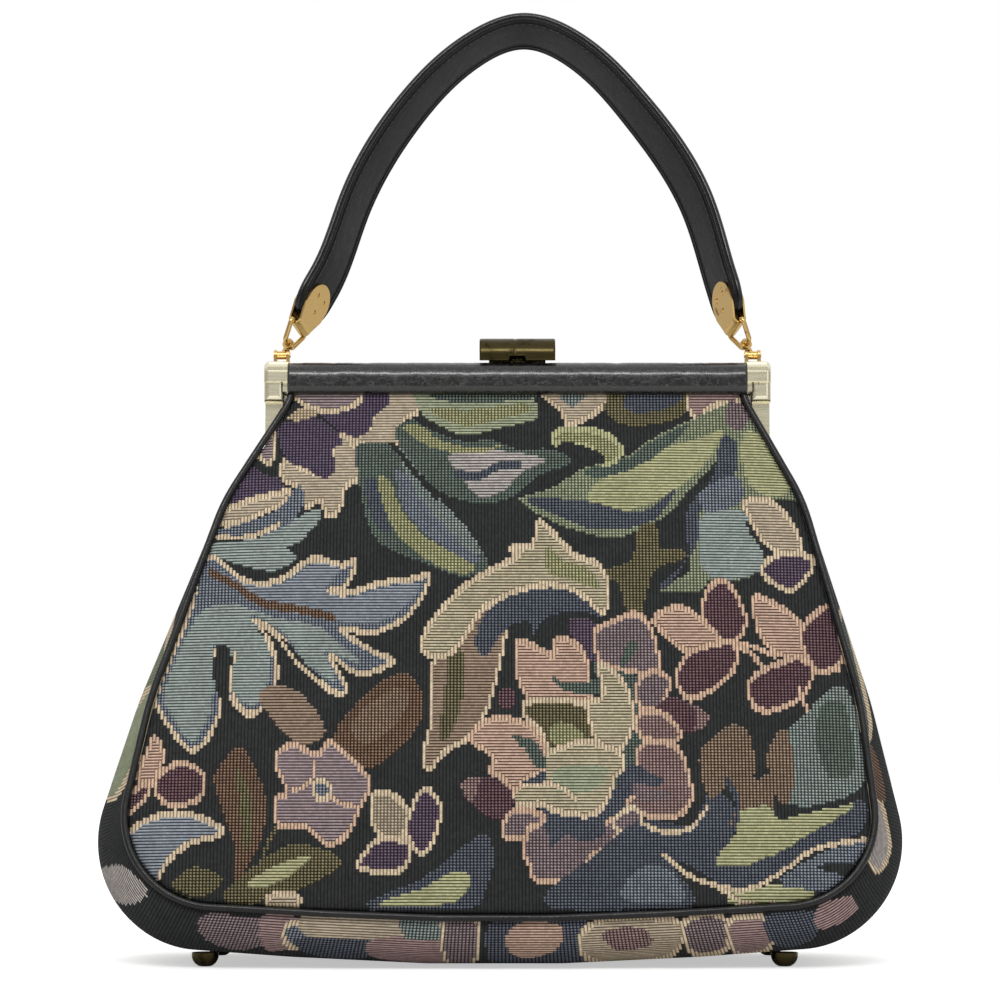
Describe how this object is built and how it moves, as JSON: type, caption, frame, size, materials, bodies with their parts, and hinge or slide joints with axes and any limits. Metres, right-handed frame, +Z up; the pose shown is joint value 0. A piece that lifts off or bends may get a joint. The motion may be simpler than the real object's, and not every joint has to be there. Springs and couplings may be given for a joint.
{
  "type": "carpet bag",
  "caption": "Tapestry frame bag with black piping, leather wrapped brass hinged frame, lift clasp and an arched leather handle.",
  "frame": {"origin": "on the floor under the middle of the whole bag", "axes": "+Z up, +X to the bag's right as the front is looked at, -Y out of the front"},
  "size_m": [0.3193, 0.111, 0.3924],
  "materials": {
    "tapestry": "floral jacquard weave on a charcoal ground",
    "piping": "glossy black",
    "lining": "plain dark cotton",
    "board": "matt",
    "dark_leather": "wrinkled grain, semi gloss",
    "strap_leather": "grained, semi gloss",
    "satin_brass": "satin",
    "aged_brass": "darkened antique"
  },
  "bodies": {
    "bag": {"front_panel": "tapestry", "back_panel": "tapestry", "gusset": "tapestry", "front_piping": "piping", "back_piping": "piping", "lining": "lining", "base_board": "board", "front_foot_left": "aged_brass", "front_foot_right": "aged_brass", "back_foot_left": "aged_brass", "back_foot_right": "aged_brass"},
    "front_frame": {"front_bar": "satin_brass", "front_roll": "dark_leather", "front_cap_left": "satin_brass", "front_cap_right": "satin_brass", "clasp_stud": "aged_brass"},
    "back_frame": {"back_bar": "satin_brass", "back_roll": "dark_leather", "back_cap_left": "satin_brass", "back_cap_right": "satin_brass", "hinge_pin_left": "satin_brass", "hinge_pin_right": "satin_brass", "clasp_plate": "aged_brass", "clasp_pin": "aged_brass", "lug_left": "satin_brass", "lug_right": "satin_brass", "lug_pin_left": "satin_brass", "lug_pin_right": "satin_brass"},
    "clasp": {"clasp_lever": "aged_brass"},
    "handle": {"swivel_eye_left": "satin_brass", "swivel_eye_right": "satin_brass", "ring_left": "satin_brass", "ring_right": "satin_brass", "end_plate_left": "satin_brass", "end_plate_right": "satin_brass", "strap_outer": "strap_leather", "strap_inner": "strap_leather"}
  },
  "joints": [
    {"name": "front_frame_open", "type": "hinge", "parent": "bag", "child": "front_frame", "pos_m": [0.0069, 0, 0.1872], "axis": [1, 0, 0], "range_deg": [0, 40], "deforming": ["front_panel", "back_panel", "gusset", "front_piping", "back_piping", "lining"]},
    {"name": "back_frame_open", "type": "hinge", "parent": "bag", "child": "back_frame", "pos_m": [0.0069, 0, 0.1872], "axis": [1, 0, 0], "range_deg": [-40, 0], "deforming": ["front_panel", "back_panel", "gusset", "front_piping", "back_piping", "lining"]},
    {"name": "clasp_lift", "type": "hinge", "parent": "back_frame", "child": "clasp", "pos_m": [0.0069, 0.0086, 0.2409], "axis": [-1, 0, 0], "range_deg": [0, 70]},
    {"name": "handle_swing", "type": "hinge", "parent": "back_frame", "child": "handle", "pos_m": [0.0069, 0.004, 0.2428], "axis": [-1, 0, 0], "range_deg": [-75, 60]}
  ],
  "couplings": [
    {"joint": "back_frame_open", "follows": "front_frame_open", "ratio": -1}
  ]
}
